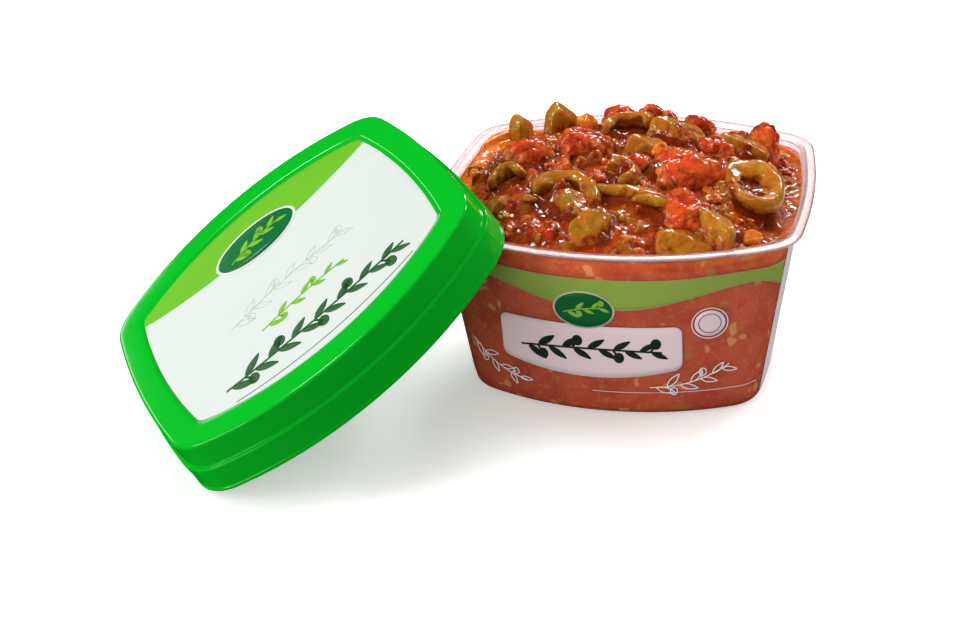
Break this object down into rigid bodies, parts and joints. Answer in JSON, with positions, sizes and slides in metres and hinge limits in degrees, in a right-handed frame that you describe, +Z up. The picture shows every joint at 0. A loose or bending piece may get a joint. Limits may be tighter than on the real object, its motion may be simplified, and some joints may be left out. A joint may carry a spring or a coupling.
{
  "type": "tub of olive salad with its lid",
  "caption": "Open clear plastic deli tub heaped with chunky olive salad, its green press-on lid leaning against its side.",
  "frame": {"origin": "middle of the tub's base, on the surface it stands on", "axes": "+Z up; +X across the tub's bowed front, from the leaning lid to the tub; -Y towards the front"},
  "size_m": [0.2232, 0.1773, 0.0785],
  "materials": {
    "clear_plastic": "thin clear polypropylene, slightly hazy",
    "salad": "wet, oily tomato sauce with olive and tomato chunks",
    "green_plastic": "smooth moulded plastic with a soft gloss",
    "label": "smooth printed film, half matt"
  },
  "bodies": {
    "root": {"tub": "clear_plastic", "salad": "salad", "lid": "green_plastic", "lid_label": "label"}
  },
  "joints": []
}
